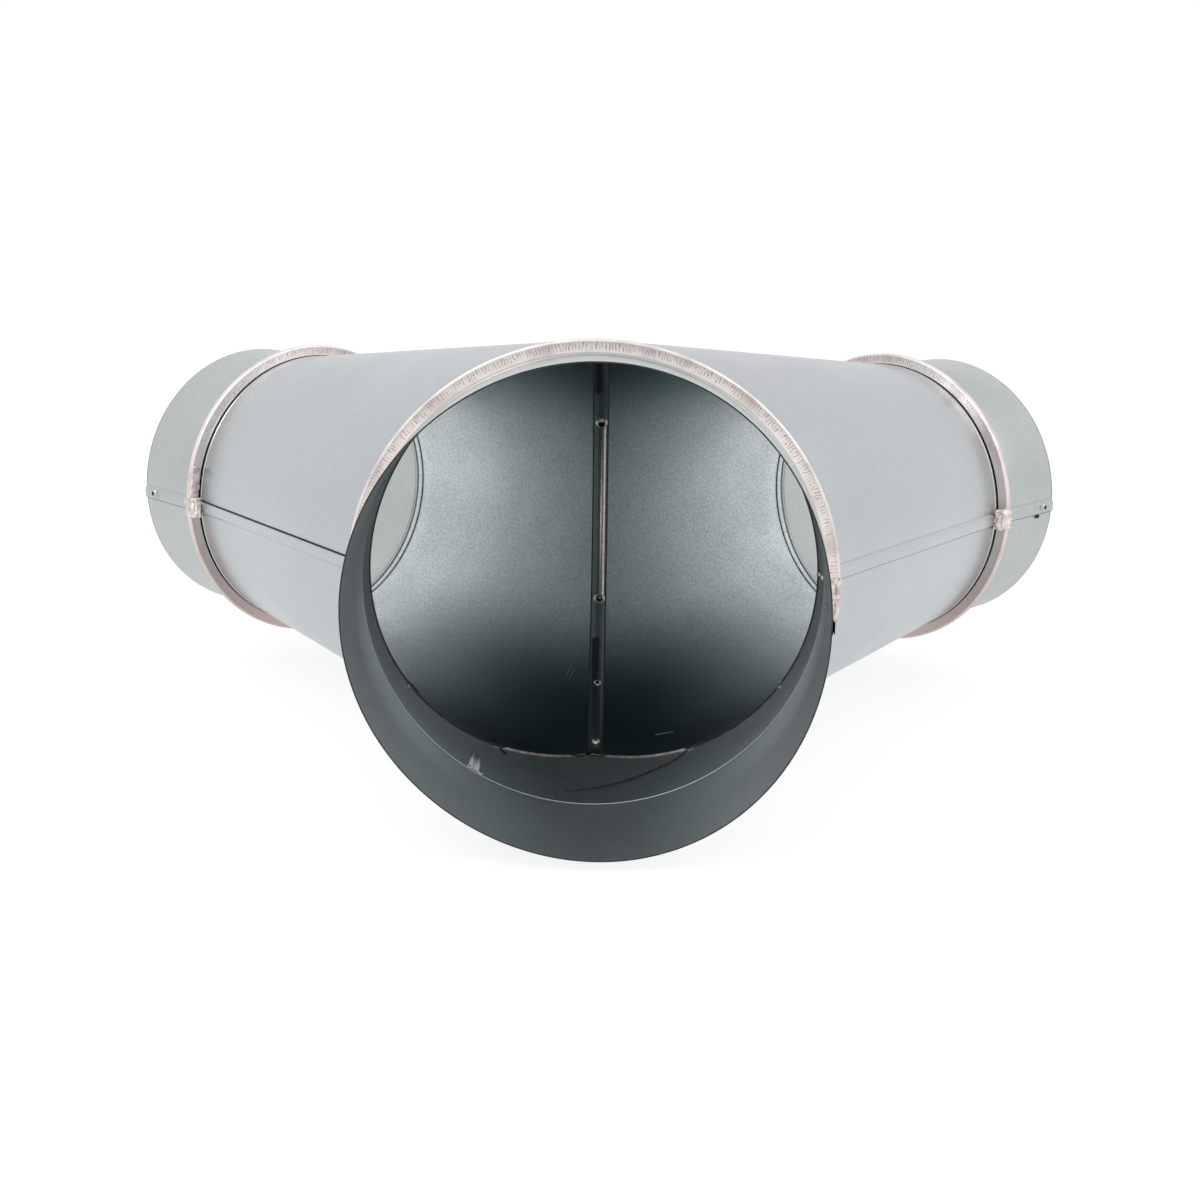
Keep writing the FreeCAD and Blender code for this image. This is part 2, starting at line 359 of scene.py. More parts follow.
def leg_inner_light_and_shade_finish(name, roughness):
    """Inside of the legs, painted lighter than the outside as painted light, speckled, and with painted
    shade at the top and the foot of the crotch.
    """
    material, tree, shader, place = new_material(name)
    sideways, _, height = add(tree, "ShaderNodeSeparateXYZ", {"Vector": place}).outputs
    across = math_node(tree, "ABSOLUTE", sideways)
    top = product(tree, ramp(tree, height, *TOP_SHADE), ramp(tree, across, *TOP_REACH, 1.0, TOP_REST))
    low = product(tree, ramp(tree, height, *LOW_SHADE), ramp(tree, across, *LOW_REACH, 1.0, LOW_REST))
    specks = pattern(tree, place, SPECKS, 0.0, SPECK_SHARE)
    blotches = pattern(tree, place, BLOTCHES, 0.0, BLOTCH_SHARE)
    colour = zinc_colour(tree, place, LEG_INNER_LIT_PALE, LEG_INNER_LIT_GREEN)
    colour = blend(tree, total(tree, specks, blotches), colour, LEG_SPECK)
    colour = blend(tree, low, blend(tree, top, colour, LEG_TOP_SHADE_COLOUR), LEG_LOW_SHADE_COLOUR)
    connect(tree, shader, {"Base Color": colour})
    zinc_surface(tree, shader, place, roughness)
    return material


def smear_finish(name, roughness):
    """Pale rub mark that fades away from the seam in streaks."""
    material, tree, shader, place = new_material(name)
    _, depth, _ = add(tree, "ShaderNodeSeparateXYZ", {"Vector": place}).outputs
    streaks = pattern(tree, place, RUB_STREAKS, -RUB_STREAK_REACH, RUB_STREAK_REACH, RUB_STRETCH)
    fade = total(tree, ramp(tree, depth, *RUB_FADE), streaks)
    zinc_surface(tree, shader, place, roughness)
    connect(tree, shader, {"Base Color": blend(tree, fade, RUB_PALE, RUB_FADED), "Metallic": RUB_METALLIC})
    return material


LEG_ZINC = sheet_finish("leg_zinc", ZINC_PALE, ZINC_LILAC, roughness=0.34)
NECK_ZINC = sheet_finish("neck_zinc", COLLAR_PALE, COLLAR_GREEN, roughness=COLLAR_ROUGHNESS)
# Inside of the neck and its seam roll: a darker copy of the zinc, as painted shade
SHADED_INNER_ZINC = sheet_finish("shaded_inner_zinc", SHADED_INNER_PALE, SHADED_INNER_GREEN, roughness=0.42)
# Inside of the inlet collar: a darker copy of the zinc, as painted shade
SHADED_COLLAR_INNER_ZINC = sheet_finish(
    "shaded_collar_inner_zinc", COLLAR_INNER_SHADED_PALE, COLLAR_INNER_SHADED_GREEN, roughness=0.50)
# Inside of the legs: a lighter copy of the zinc as painted light, with painted shade at top and foot
LEG_INNER_LIT_ZINC = leg_inner_light_and_shade_finish("leg_inner_painted_light_zinc", roughness=0.36)
# The crotch fold in dark zinc, as painted shade
FOLD_SHADE_ZINC = sheet_finish("fold_painted_shade_zinc", FOLD_SHADE_PALE, FOLD_SHADE_DARK, roughness=0.3)
# Pale rubbed metal of the fold's ridge, partly a painted highlight
RIDGE_RUB_AND_HIGHLIGHT_ZINC = sheet_finish("ridge_rub_and_highlight_zinc", SEAM_PALE, SEAM_PINK, roughness=0.44)
RUBBED_ZINC = edge_finish("rubbed_zinc", SEAM_PALE, SEAM_PINK, roughness=0.45)
# Cut edges, and painted shade in gaps, grooves, pits and under lips
DARK_EDGE_AND_SHADE = edge_finish("dark_edge_and_painted_shade", EDGE_SHADE_BLACK, EDGE_SHADE_BROWN, roughness=0.5)
# Reddish raw edge with a painted highlight, low down at the mitre
COPPER_EDGE_HIGHLIGHT = edge_finish("copper_edge_painted_highlight", EDGE_COPPER_HIGHLIGHT, EDGE_RED, roughness=0.35)
# Painted shade along the neck's crease and snips
CREASE_SHADE = edge_finish("painted_crease_shade", EDGE_SHADE_BLACK, EDGE_SHADE_BROWN, roughness=0.6)
SMEAR_ZINC = smear_finish("smear_zinc", roughness=0.45)

# Order of the materials on a sheet: outside, inside, cut edge that also serves as painted shade, and
# copper-coloured edge with a painted highlight
OUTSIDE, INSIDE, CUT_AND_SHADE, COPPER_AND_HIGHLIGHT = range(4)


# Modelling helpers

def edit(selected=True):
    """Go into edit mode on the active object with all or nothing selected."""
    bpy.ops.object.mode_set(mode="EDIT")
    bpy.ops.mesh.select_mode(type="VERT")
    bpy.ops.mesh.select_all(action="SELECT" if selected else "DESELECT")


def leave_edit():
    """Back to object mode."""
    bpy.ops.object.mode_set(mode="OBJECT")


def only(piece):
    """Make one object the active and only selected one."""
    bpy.ops.object.select_all(action="DESELECT")
    piece.select_set(True)
    bpy.context.view_layer.objects.active = piece


def named(name):
    """The object just made, under its name."""
    piece = bpy.context.object
    piece.name = name
    return piece


def select_points(piece, wanted):
    """Go into edit mode with just the points selected for which wanted(place) is true."""
    leave_edit()
    only(piece)
    edit(False)
    leave_edit()
    for point in piece.data.vertices:
        point.select = wanted(point.co)
    bpy.ops.object.mode_set(mode="EDIT")


def settle(piece, matrix):
    """Put a piece in its place, with the place in its mesh."""
    only(piece)
    piece.matrix_world = matrix
    bpy.ops.object.transform_apply(location=True, rotation=True, scale=True)


def thicken(piece, thickness, materials):
    """Give a sheet its thickness, and its outside, inside and cut edges their materials."""
    only(piece)
    piece.data.materials.clear()
    for material in materials:
        piece.data.materials.append(material)
    bpy.ops.object.modifier_add(type="SOLIDIFY")
    wall = piece.modifiers[-1]
    wall.thickness = thickness
    wall.offset = 0
    wall.use_even_offset = True
    wall.use_quality_normals = True
    if len(materials) > CUT_AND_SHADE:
        wall.material_offset = INSIDE
        wall.material_offset_rim = CUT_AND_SHADE
    bpy.ops.object.modifier_apply(modifier=wall.name)


def repaint(piece, index, wanted):
    """Give another of a piece's materials to the faces for which wanted(face) is true."""
    for face in piece.data.polygons:
        if wanted(face):
            face.material_index = index


def finish(piece, angle=38):
    """Shade a piece and hang it on the fitting."""
    only(piece)
    bpy.ops.object.shade_smooth_by_angle(angle=math.radians(angle))
    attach(piece, BODY)


def bent_path(corners, steps=5):
    """Points of a sheet's section: each corner is (radius, depth, bend), rounded by its bend."""
    points = []
    for index, (radius, depth, bend) in enumerate(corners):
        corner = Vector((radius, depth))
        if bend == 0:
            points.append(corner)
            continue
        before = corner + (Vector(corners[index - 1][:2]) - corner).normalized() * bend
        after = corner + (Vector(corners[index + 1][:2]) - corner).normalized() * bend
        for step in range(steps + 1):
            share = step / steps
            points.append(before.lerp(corner, share).lerp(corner.lerp(after, share), share))
    return points


def rolled_sheet(name, path, columns):
    """Roll a sheet round the Y axis: a ring, extruded from point to point of its section."""
    bpy.ops.object.select_all(action="DESELECT")
    radius, depth = path[0]
    bpy.ops.mesh.primitive_circle_add(
        vertices=columns, radius=radius, location=(0, depth, 0), rotation=(math.pi / 2, 0, 0))
    sheet = named(name)
    bpy.ops.object.transform_apply(location=True, rotation=True, scale=True)
    edit()
    for next_radius, next_depth in path[1:]:
        move = (0, next_depth - depth, 0)
        bpy.ops.mesh.extrude_region_move(TRANSFORM_OT_translate={"value": move})
        grow = next_radius / radius
        bpy.ops.transform.resize(value=(grow, 1, grow), center_override=(0, next_depth, 0))
        radius, depth = next_radius, next_depth
    bpy.ops.mesh.select_all(action="SELECT")
    bpy.ops.mesh.normals_make_consistent(inside=False)
    leave_edit()
    face_outwards(sheet)
    return sheet


def face_outwards(sheet):
    """Turn a rolled sheet's faces away from its axis."""
    away = sum(face.area * (face.normal.x * face.center.x + face.normal.z * face.center.z)
               for face in sheet.data.polygons)
    if away < 0:
        edit()
        bpy.ops.mesh.flip_normals()
        leave_edit()


def joined(name, pieces):
    """Join pieces into one and weld the points that meet."""
    bpy.ops.object.select_all(action="DESELECT")
    for piece in pieces:
        piece.select_set(True)
    bpy.context.view_layer.objects.active = pieces[0]
    bpy.ops.object.join()
    pieces[0].name = name
    edit()
    bpy.ops.mesh.remove_doubles(threshold=SHEET / 20)
    leave_edit()
    return pieces[0]


def trim(piece, point, normal):
    """Cut a piece with a plane and keep the side that the normal points to."""
    only(piece)
    edit()
    bpy.ops.mesh.bisect(plane_co=point, plane_no=normal, clear_inner=True, use_fill=False)
    leave_edit()


def score(piece, point, normal):
    """Draw a line of edges round a piece where a plane meets it."""
    only(piece)
    edit()
    bpy.ops.mesh.bisect(plane_co=point, plane_no=normal)
    leave_edit()


def radial(place):
    """Distance from the Y axis."""
    return math.hypot(place.x, place.z)


# Collars

FOOT_BEND = 0.0010
# Width of the dark band painted on a collar's outside at its rim, in the colour of the cut edge
RIM_DARK_BAND = 0.0005
CROWN_BEND = 0.0006
CROWN_GAP = 0.00002

# Number of teeth, how deep they are pressed and how strongly they show low down
INLET_TEETH, INLET_PRESS, INLET_LOW_TEETH = 470, 0.00015, 0.9
OUTLET_TEETH, OUTLET_PRESS, OUTLET_LOW_TEETH = 350, 0.00005, 0.2

# Small bead inside a collar, before its seam: rise and distance from the seam
BEAD = ((0, 0.0034), (0.00025, 0.0029), (0.00035, 0.0024), (0.00025, 0.0019), (0, 0.0014))

# How far the inlet's free end is pushed out of round:
# waves round the rim, each with its share on the sine and on the cosine
RIM_WAVES = ((1, 0.0004, -0.0009), (2, -0.0005, -0.0024), (3, -0.0002, -0.0012))
SQUEEZED_LENGTH = INLET_LENGTH - 0.004


def knurl_faces(sheet, radius, front, back, columns, press):
    """Press every other column of the seam's two faces inwards."""
    def in_groove(place, depth):
        if abs(place.y - depth) > ON_LINE:
            return False
        rise = radial(place) - radius
        column = round(math.atan2(place.z, place.x) / (2 * math.pi / columns))
        return KNURL_FULL_LOW - ON_LINE < rise < KNURL_FULL_HIGH + ON_LINE and column % 2 == 1

    for depth, way in ((front, 1), (back, -1)):
        select_points(sheet, lambda place: in_groove(place, depth))
        bpy.ops.transform.translate(value=(0, way * press, 0))
    leave_edit()


def collar(name, radius, length, teeth, press, matrix, material, inside):
    """Rolled collar with its folded and knurled standing seam."""
    wall = radius - HALF_SHEET
    front = length - HALF_SHEET
    back = front + SEAM_WIDTH - SHEET
    crown = radius + SEAM_RISE - HALF_SHEET - CROWN_GAP
    rises = [KNURL_LOW, KNURL_FULL_LOW, KNURL_FULL_HIGH, KNURL_HIGH]
    corners = [(wall, 0, 0), (wall, RIM_DARK_BAND, 0), (wall, length / 2, 0)]
    corners += [(wall - rise, front - distance, 0) for rise, distance in BEAD]
    corners += [(wall, front, FOOT_BEND)]
    corners += [(radius + rise, front, 0) for rise in rises]
    corners += [(crown, front, CROWN_BEND), (crown, back, CROWN_BEND)]
    corners += [(radius + rise, back, 0) for rise in reversed(rises)]
    corners += [(radius + LIP_GAP, back, 0)]
    columns = 2 * teeth
    sheet = rolled_sheet(name, bent_path(corners), columns)
    knurl_faces(sheet, radius, front, back, columns, press)
    thicken(sheet, SHEET, [material, inside, DARK_EDGE_AND_SHADE])
    repaint(sheet, CUT_AND_SHADE, lambda face: face.material_index == OUTSIDE and face.center.y < RIM_DARK_BAND)
    settle(sheet, matrix)
    finish(sheet, angle=30)
    return sheet


def squeeze_rim(sheet):
    """Press the inlet's free end slightly out of round, as handling does."""
    for point in sheet.data.vertices:
        share = max(0.0, 1 - point.co.y / SQUEEZED_LENGTH)
        angle = math.atan2(point.co.z, point.co.x)
        push = sum(sine * math.sin(wave * angle) + cosine * math.cos(wave * angle)
                   for wave, sine, cosine in RIM_WAVES)
        grow = 1 + share * push / radial(point.co)
        point.co.x *= grow
        point.co.z *= grow


def inlet_collar():
    """Inlet collar, its free end a little out of round."""
    inlet_material = collar_finish(
        "inlet_collar_zinc", (0, 0, 0), 0, INLET_RADIUS, INLET_LENGTH, INLET_TEETH, INLET_LOW_TEETH)
    inlet_piece = collar(
        "inlet_collar_sheet", INLET_RADIUS, INLET_LENGTH, INLET_TEETH, INLET_PRESS, Matrix(),
        inlet_material, SHADED_COLLAR_INNER_ZINC)
    squeeze_rim(inlet_piece)
    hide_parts("inlet_collar")


def outlet_place(side):
    """Centre of an outlet's rim, and the turn that points its depth towards the leg."""
    way = Vector((side * math.sin(LEG_ANGLE), math.cos(LEG_ANGLE), 0))
    return CROSSING + way * (LEG_LENGTH + OUTLET_LENGTH), math.pi - side * LEG_ANGLE


def outlet_matrix(side):
    """Moves a collar from the origin to its outlet."""
    centre, turn = outlet_place(side)
    return Matrix.Translation(centre) @ Matrix.Rotation(turn, 4, "Z")


def outlet_collar(side, word):
    """Outlet collar on one side."""
    centre, turn = outlet_place(side)
    outlet_material = collar_finish(
        word + "_outlet_collar_zinc", centre, turn, OUTLET_RADIUS, OUTLET_LENGTH, OUTLET_TEETH,
        OUTLET_LOW_TEETH)
    outlet_piece = collar(
        word + "_outlet_collar_sheet", OUTLET_RADIUS, OUTLET_LENGTH, OUTLET_TEETH, OUTLET_PRESS,
        outlet_matrix(side), outlet_material, NECK_ZINC)
    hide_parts(word + "_outlet_collar")


inlet_collar()
for side, word in SIDES:
    outlet_collar(side, word)


# Neck

SHEET_COLUMNS = 400
FLANGE_BEND = 0.0009
NECK_ROW = 0.012
# Width of the neck's painted edge strip: copper with a painted highlight low down, painted shade elsewhere
EDGE_STRIP = 0.0013
EDGE_CURL = 0.0006
NICK_ROOM = 0.0035
NECK_COPPER_LEVEL = -0.089
FOIL = SHEET / 5

# Snips in the neck's raw edge: angle from the top towards the right, half width in degrees, depth
NECK_NICKS = (
    (-123, 1.0, 0.0022), (-153.5, 1.8, 0.0026), (-179.2, 1.6, 0.0024), (152, 1.5, 0.0025),
    (121, 1.0, 0.0020),
)

# Rounded bend of the neck's flange, which shows inside at the seam: rise and distance past the collar
SEAM_ROLL = (
    (0, 0.0001), (0.0004, 0.0002), (0.0006, 0.0005), (0.0006, 0.0009), (0.0004, 0.0012), (0, 0.0014),
)


def mitre_plane(side):
    """A point and the normal of the flat joint between the neck and one leg."""
    return Vector((0, MITRE_TIP, 0)), Vector((side * MITRE_SLOPE, 1, 0)).normalized()


def past_mitre(place):
    """Distance of a place past the nearer mitre plane."""
    return (place.y - MITRE_TIP + abs(place.x) * MITRE_SLOPE) / math.hypot(1, MITRE_SLOPE)


def between(sheet, side, near, far):
    """Keep what lies on one side of the middle, between two distances past the mitre."""
    point, normal = mitre_plane(side)
    trim(sheet, Vector((0, 0, 0)), Vector((side, 0, 0)))
    trim(sheet, point + normal * near, normal)
    trim(sheet, point + normal * far, -normal)


def colour_v_edge(sheet, on_edge, copper_level):
    """Inside of a raw edge at the mitre: a reddish edge with a painted highlight low down, and painted
    shade elsewhere.
    """
    def wanted(face):
        return face.material_index == INSIDE and on_edge(face.center)

    repaint(sheet, COPPER_AND_HIGHLIGHT, lambda face: wanted(face) and face.center.z < copper_level)
    repaint(sheet, CUT_AND_SHADE, wanted)


def neck_sheet():
    """Sleeve with its flange in the inlet seam and its V-shaped raw edge behind."""
    middle = NECK_RADIUS - HALF_SHEET
    front = INLET_LENGTH + SEAM_PLAY + HALF_SHEET
    corners = [
        (INLET_RADIUS + FLANGE_RISE, front, 0),
        (middle, front, FLANGE_BEND),
        (middle, front + NECK_ROW, 0),
        (middle, MITRE_TIP, 0),
    ]
    halves = []
    for side in (LEFT, RIGHT):
        half = rolled_sheet("neck_half", bent_path(corners), SHEET_COLUMNS)
        between(half, side, -INLET_RADIUS, -MITRE_GAP)
        point, normal = mitre_plane(side)
        for room in (0, NICK_ROOM):
            score(half, point - normal * (MITRE_GAP + EDGE_STRIP + room), normal)
        halves.append(half)
    sheet = joined("inlet_neck_sheet", halves)
    select_points(sheet, lambda place: past_mitre(place) > -MITRE_GAP - EDGE_STRIP / 2)
    curl = 1 - EDGE_CURL / middle
    bpy.ops.transform.resize(value=(curl, 1, curl), center_override=(0, 0, 0))
    leave_edit()
    return sheet


def nick_edge(sheet, angle, half_width, depth):
    """Snip the neck's raw edge at an angle measured from the top towards the right."""
    def on_edge(place):
        if abs(math.degrees(math.atan2(place.x, place.z)) - angle) > half_width:
            return False
        return past_mitre(place) > -1.1 * (MITRE_GAP + EDGE_STRIP)

    select_points(sheet, on_edge)
    bpy.ops.transform.translate(value=(0, -depth, 0))
    leave_edit()


def inlet_neck():
    """Neck with its snips and the colours of its raw edge."""
    neck = neck_sheet()
    for nick in NECK_NICKS:
        nick_edge(neck, *nick)
    thicken(neck, SHEET, [NECK_ZINC, SHADED_INNER_ZINC, DARK_EDGE_AND_SHADE, COPPER_EDGE_HIGHLIGHT])
    colour_v_edge(
        neck, lambda place: past_mitre(place) > -MITRE_GAP - EDGE_STRIP, NECK_COPPER_LEVEL)
    finish(neck, angle=20)
    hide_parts("inlet_neck")


def inlet_seam_roll():
    """Small roll inside, between the collar and the neck."""
    path = [(NECK_RADIUS - SHEET - rise, INLET_LENGTH + depth) for rise, depth in SEAM_ROLL]
    roll = rolled_sheet("inlet_seam_roll", path, SHEET_COLUMNS)
    thicken(roll, FOIL, [SHADED_INNER_ZINC])
    finish(roll, angle=80)


inlet_neck()
inlet_seam_roll()


# Legs

LEG_STATIONS = (0, 0.05, 0.12, 0.19, 0.216)
# Width of the leg's painted edge strip at the mitre, coloured like the neck's
LEG_EDGE_STRIP = 0.0007
LEG_COPPER_LEVEL = -0.064
HEM_DEPTH, HEM_RISE, HEM_BEND = 0.0014, 0.0025, 0.0005

# Shallow swage and narrow groove near a leg's end: station and rise
LEG_END_RINGS = (
    (0.2195, -0.0002), (0.2230, 0), (0.2245, 0), (0.2249, 0.0003), (0.2258, 0.0003), (0.2263, 0),
    (0.2274, 0),
)

# Stations between which the slopes of the groove lie in shade inside
RING_SHADES = ((0.2245, 0.2249), (0.2258, 0.2263))

# Station past which a leg lies in the gap under the seam's lip, painted there as shade
LIP_SHADE = 0.2263


def leg_radius(station, inset=HALF_SHEET):
    """Radius of a leg's sheet at a distance from the axes' crossing."""
    return (NECK_RADIUS - inset - station * math.sin(TAPER)) / math.cos(TAPER)


def leg_matrix(side):
    """Turns the Y axis onto a leg's axis."""
    return Matrix.Translation(CROSSING) @ Matrix.Rotation(-side * LEG_ANGLE, 4, "Z")


def leg_blank(name, side, corners, far=1.0):
    """Tapered sheet on a leg's axis, trimmed at the neck's mitre."""
    sheet = rolled_sheet(name, bent_path(corners), SHEET_COLUMNS)
    settle(sheet, leg_matrix(side))
    between(sheet, side, 0, far)
    return sheet


def leg_sheet(name, side):
    """Leg with its rings and its hemmed flange at the outlet."""
    end = LEG_LENGTH - SEAM_PLAY - HALF_SHEET
    tip = OUTLET_RADIUS + FLANGE_RISE
    hem = end - HEM_DEPTH
    corners = [(leg_radius(station), station, 0) for station in LEG_STATIONS]
    corners += [(leg_radius(station) + rise, station, 0) for station, rise in LEG_END_RINGS]
    corners += [(leg_radius(end), end, FLANGE_BEND), (tip, end, HEM_BEND), (tip, hem, HEM_BEND)]
    corners += [(OUTLET_RADIUS + HEM_RISE, hem, 0)]
    sheet = leg_blank(name, side, corners)
    trim(sheet, Vector((side * CROTCH_GAP, 0, 0)), Vector((side, 0, 0)))
    return sheet


def shade_leg_end(leg, side):
    """Painted shade under the seam's lip outside, and on the slopes of the groove inside."""
    to_axis = leg_matrix(side).inverted()

    def lies(face, layer, near, far=LEG_LENGTH):
        return face.material_index == layer and near < (to_axis @ face.center).y < far

    repaint(leg, CUT_AND_SHADE, lambda face: lies(face, OUTSIDE, LIP_SHADE))
    for near, far in RING_SHADES:
        repaint(leg, CUT_AND_SHADE, lambda face: lies(face, INSIDE, near, far))


def branch_leg(side, word):
    """Whole leg on one side."""
    leg = leg_sheet(word + "_branch_sheet", side)
    point, normal = mitre_plane(side)
    score(leg, point + normal * LEG_EDGE_STRIP, normal)
    thicken(leg, SHEET, [LEG_ZINC, LEG_INNER_LIT_ZINC, DARK_EDGE_AND_SHADE, COPPER_EDGE_HIGHLIGHT])
    colour_v_edge(
        leg, lambda place: (place - point).dot(normal) < LEG_EDGE_STRIP, LEG_COPPER_LEVEL)
    shade_leg_end(leg, side)
    finish(leg)
    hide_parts(word + "_branch")


for side, word in SIDES:
    branch_leg(side, word)


# Band outside the neck's mitres, which closes the joint

BAND_REACH = 0.003
BAND_RISE = 0.00035
BAND_SHEET = 0.0003
BAND_DEPTHS = (0.07, 0.13)


def lap_band():
    """Narrow strips on the neck and on each leg, which meet at the mitre, with their inside painted dark
    as painted shade in the joint.
    """
    strips = []
    for side in (LEFT, RIGHT):
        path = [Vector((NECK_RADIUS + BAND_RISE, depth)) for depth in BAND_DEPTHS]
        on_neck = rolled_sheet("band_on_neck", path, SHEET_COLUMNS)
        between(on_neck, side, -BAND_REACH, 0)
        corners = [(leg_radius(station, -BAND_RISE), station, 0) for station in LEG_STATIONS[:3]]
        strips += [on_neck, leg_blank("band_on_leg", side, corners, BAND_REACH)]
    band = joined("neck_lap_band", strips)
    thicken(band, BAND_SHEET, [NECK_ZINC, DARK_EDGE_AND_SHADE, DARK_EDGE_AND_SHADE])
    finish(band)


lap_band()


# Fold that closes the crotch

CROTCH_STATIONS = (0, 0.2)

# Distances across the fold and how far each line stands off the legs' sheet
FOLD_LINES = (
    (-0.0030, 0.0010), (-0.0022, 0.0011), (0.0, 0.0012), (0.0022, 0.0012), (0.0044, 0.0011),
    (0.0052, 0.0009),
)
RIDGE_LINES = (
    (0.0010, 0.0011), (0.0014, 0.0017), (0.0019, 0.0021), (0.0025, 0.0023), (0.0031, 0.0022),
    (0.0036, 0.0017), (0.0039, 0.0010),
)
RIDGE_BOTTOM, RIDGE_TOP = -0.0485, 0.0470

# Point on the inlet's axis towards which the fold stands off
FOLD_AIM = CROSSING + Vector((0, -0.02, 0))


def into_fitting(depth, height):
    """The way from a place on the crotch into the fitting."""
    return (FOLD_AIM - Vector((0, depth, height))).normalized()


def crotch_strip(name, lines):
    """Strip over the line where the legs meet, with each line across it lifted off the legs."""
    corners = [(leg_radius(station), station, 0) for station in CROTCH_STATIONS]
    low, high = lines[0][0], lines[-1][0]
    halves = []
    for side in (LEFT, RIGHT):
        if side == LEFT and low > 0:
            continue
        half = leg_blank(name + "_half", side, corners)
        trim(half, Vector((low, 0, 0)), Vector((1, 0, 0)))
        trim(half, Vector((high, 0, 0)), Vector((-1, 0, 0)))
        halves.append(half)
    strip = joined(name, halves)
    for across, _ in lines[1:-1]:
        score(strip, (across, 0, 0), (1, 0, 0))
    for across, rise in lines:
        lift_line(strip, across, rise)
    return strip


def lift_line(strip, across, rise):
    """Move one line of a strip off the sheet, into the fitting."""
    for point in strip.data.vertices:
        if abs(point.co.x - across) < ON_LINE:
            point.co += into_fitting(point.co.y, point.co.z) * rise


def crotch_fold():
    """Flat fold over the joint, in dark zinc as painted shade, and with painted shade at both edges."""
    fold = crotch_strip("crotch_fold_strip", FOLD_LINES)
    thicken(fold, SHEET, [FOLD_SHADE_ZINC, FOLD_SHADE_ZINC, DARK_EDGE_AND_SHADE])
    low, high = FOLD_LINES[1][0], FOLD_LINES[-2][0]
    repaint(fold, CUT_AND_SHADE, lambda face: not low < face.center.x < high)
    finish(fold, angle=50)


def crotch_ridge():
    """Rounded ridge on the fold, between its two upper clinches, in pale rubbed metal that is partly a
    painted highlight.
    """
    ridge = crotch_strip("crotch_fold_ridge", RIDGE_LINES)
    trim(ridge, Vector((0, 0, RIDGE_BOTTOM)), Vector((0, 0, 1)))
    trim(ridge, Vector((0, 0, RIDGE_TOP)), Vector((0, 0, -1)))
    thicken(ridge, HALF_SHEET, [RIDGE_RUB_AND_HIGHLIGHT_ZINC, RIDGE_RUB_AND_HIGHLIGHT_ZINC, DARK_EDGE_AND_SHADE])
    finish(ridge, angle=120)


crotch_fold()
crotch_ridge()


# Flat lock seams along the sheets

LOCK_WIDTH = 0.006
LOCK_FLAT = 0.6 * LOCK_WIDTH
LOCK_RISE = 0.0011
# Depth below the lock's top past which its open edge is painted dark, as painted shade
LOCK_SHADE = LOCK_RISE - 0.0004
LOCK_SHEET = SHEET / 4
LOCK_RIM_GAP, LOCK_SEAM_GAP = 0.0006, 0.0012

# Section from the lock's flat top down to the sheet, on its soft and on its open edge:
# moves across and up
LOCK_SLOPE = ((-0.0003, -0.00006), (-0.0004, -0.0004), (-0.0005, -0.00045), (-0.0006, -0.00014))
LOCK_OPENING = (
    (0.0009, 0.00005), (0.0003, -0.00015), (0.00005, -0.0003), (-0.0008, -0.00005), (0, -0.00045),
    (0.0014, -0.00003),
)


def lock_section(name, length):
    """Folded strip along X, with its soft edge at low Y and its open, shaded edge at high Y."""
    bpy.ops.object.select_all(action="DESELECT")
    bpy.ops.mesh.primitive_plane_add(size=1)
    strip = named(name)
    edit()
    bpy.ops.transform.resize(value=(length, LOCK_FLAT, 1), center_override=(0, 0, 0))
    bpy.ops.transform.translate(value=(0, 0, LOCK_RISE))
    for line, moves in ((-LOCK_FLAT / 2, LOCK_SLOPE), (LOCK_FLAT / 2, LOCK_OPENING)):
        select_points(strip, lambda place: abs(place.y - line) < ON_LINE)
        for across, rise in moves:
            move = (0, across, rise)
            bpy.ops.mesh.extrude_region_move(TRANSFORM_OT_translate={"value": move})
    bpy.ops.mesh.select_all(action="SELECT")
    bpy.ops.mesh.normals_make_consistent(inside=False)
    leave_edit()
    return strip


def lock_strip(name, start, end, normal, open_side, material):
    """Lock seam from start to end, open upwards if open_side is 1 and downwards if it is -1."""
    along = end - start
    strip = lock_section(name, along.length)
    thicken(strip, LOCK_SHEET, [material, DARK_EDGE_AND_SHADE])
    repaint(strip, 1, lambda face: face.center.z < LOCK_SHADE and face.center.y > LOCK_FLAT / 2)
    side = normal.cross(along.normalized())
    if side.z * open_side < 0:
        along, side = -along, -side
    turn = Matrix((along.normalized(), side, normal)).transposed().to_4x4()
    settle(strip, Matrix.Translation((start + end) / 2) @ turn)
    finish(strip, angle=40)
    return strip


def leg_lock(name, side, open_side):
    """Lock seam along a leg's outer line, from the neck to the outlet seam."""
    turn = (LEG_ANGLE - TAPER) / 2
    near = NECK_RADIUS * (math.sin(TAPER) + math.tan(turn) * math.cos(TAPER))
    far = LEG_LENGTH - SEAM_WIDTH
    place = leg_matrix(side)
    start, end = (
        place @ Vector((side * leg_radius(station, 0), station, 0)) for station in (near, far))
    normal = place.to_3x3() @ Vector((side * math.cos(TAPER), math.sin(TAPER), 0))
    return lock_strip(name, start, end, normal, open_side, LEG_ZINC)


def collar_lock(name, matrix, radius, length, lock_side, open_side):
    """Lock seam along a collar, from its rim to its seam."""
    start, end = (
        matrix @ Vector((lock_side * radius, station, 0))
        for station in (LOCK_RIM_GAP, length - LOCK_SEAM_GAP))
    normal = matrix.to_3x3() @ Vector((lock_side, 0, 0))
    return lock_strip(name, start, end, normal, open_side, NECK_ZINC)


for side, word in SIDES:
    leg_lock(word + "_branch_lock", side, -side)
squeeze_rim(collar_lock("inlet_collar_lock", Matrix(), INLET_RADIUS, INLET_LENGTH, RIGHT, -1))
for side, word in SIDES:
    collar_lock(
        word + "_outlet_collar_lock", outlet_matrix(side), OUTLET_RADIUS, OUTLET_LENGTH, -side, -1)


